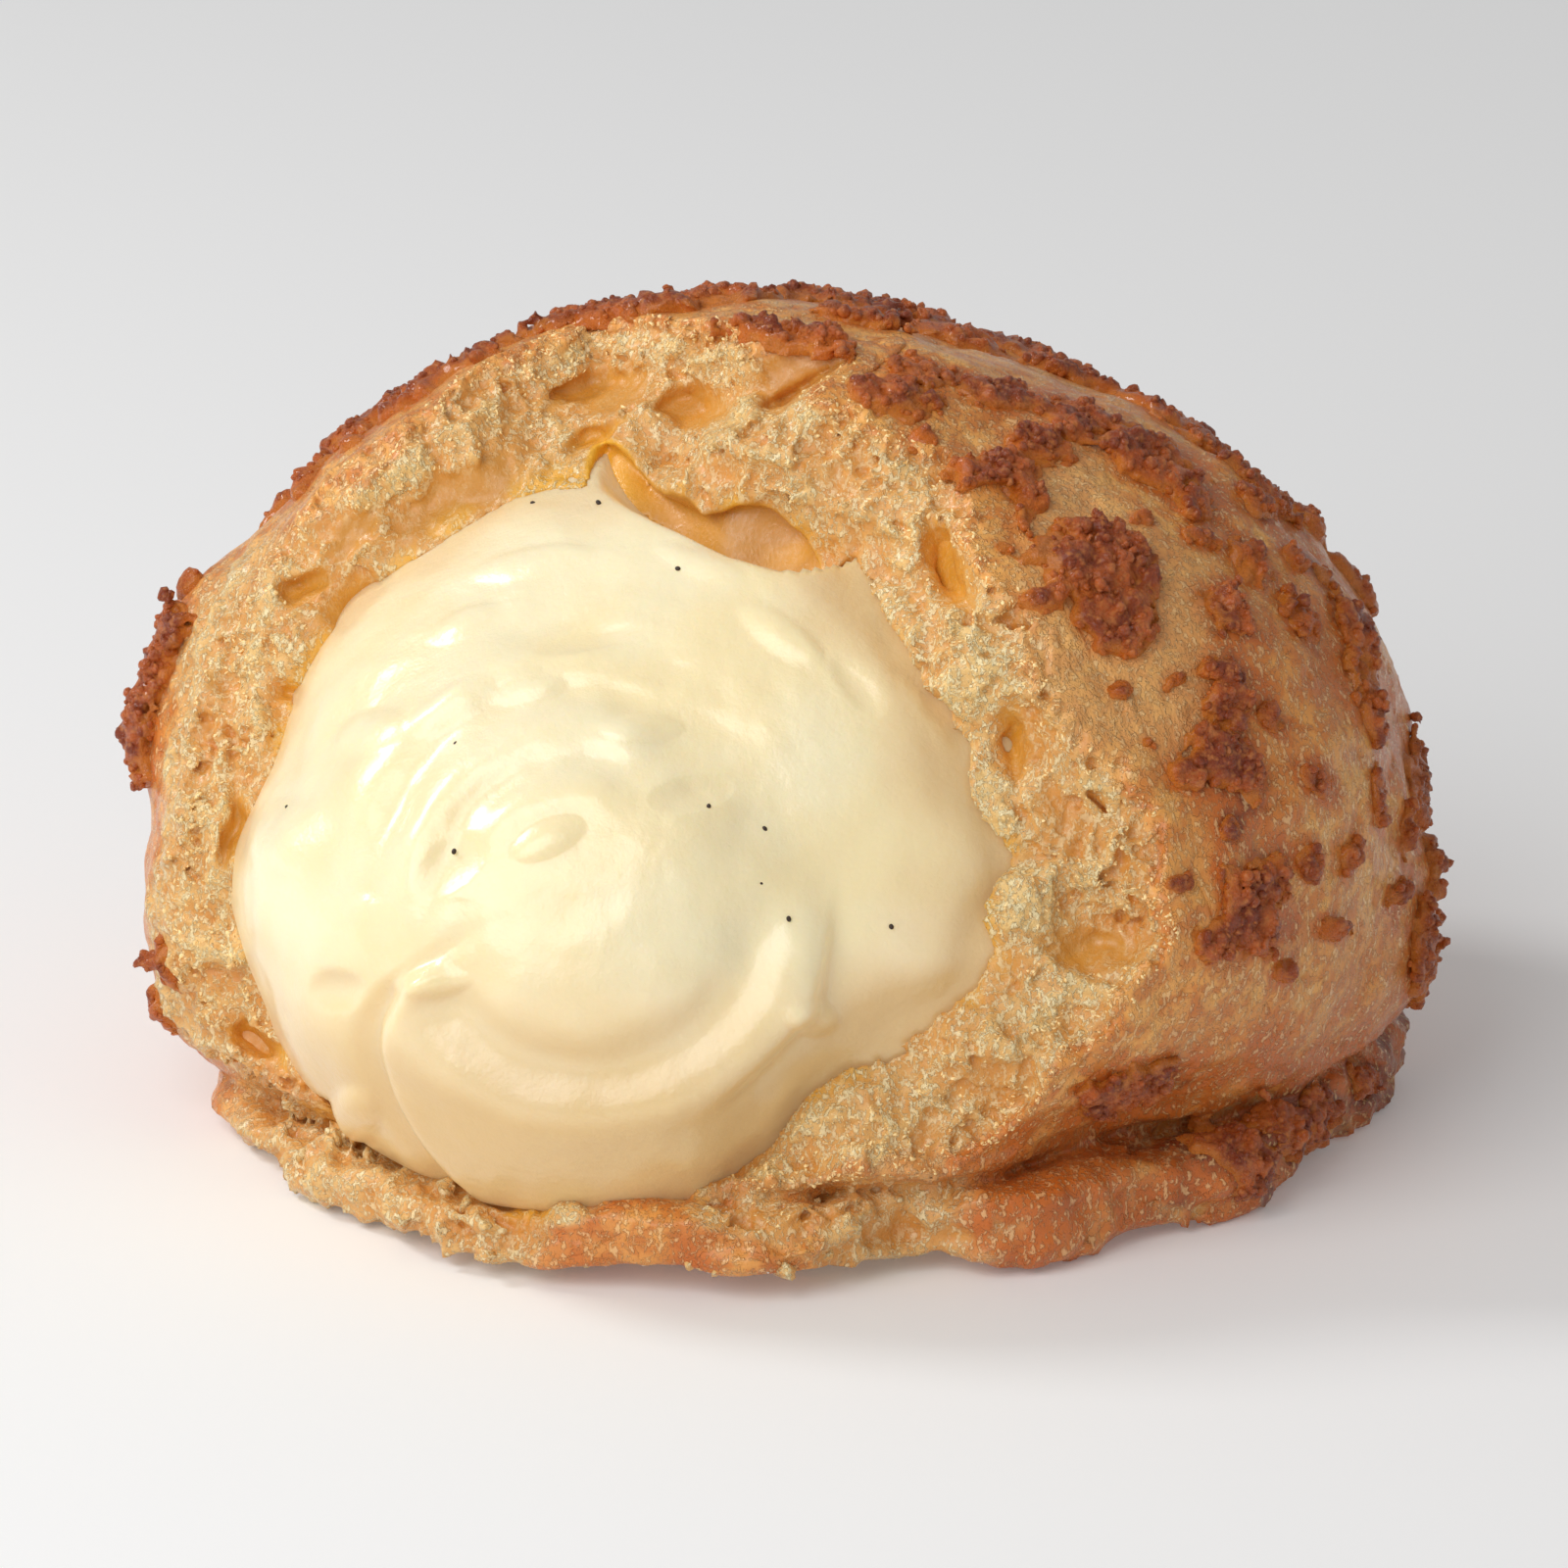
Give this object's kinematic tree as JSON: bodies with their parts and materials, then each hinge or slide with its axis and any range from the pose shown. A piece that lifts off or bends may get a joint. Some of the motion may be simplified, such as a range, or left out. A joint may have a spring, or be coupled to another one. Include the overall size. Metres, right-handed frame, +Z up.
{
  "type": "cream puff",
  "caption": "Round cream puff with a crackled cookie crust on a wavy foot, torn open at the front so that the custard filling bulges out.",
  "frame": {"origin": "centre of the puff's box, on the surface that its foot rests on", "axes": "+Z up, the torn mouth looks to -Y and upwards, +X to the right as seen from the mouth's side"},
  "size_m": [0.0848, 0.0767, 0.0533],
  "materials": {
    "baked_crust": "matte baked crust",
    "custard": "moist, softly glossy cream"
  },
  "bodies": {
    "root": {"choux_shell": "baked_crust", "custard_filling": "custard"}
  },
  "joints": []
}
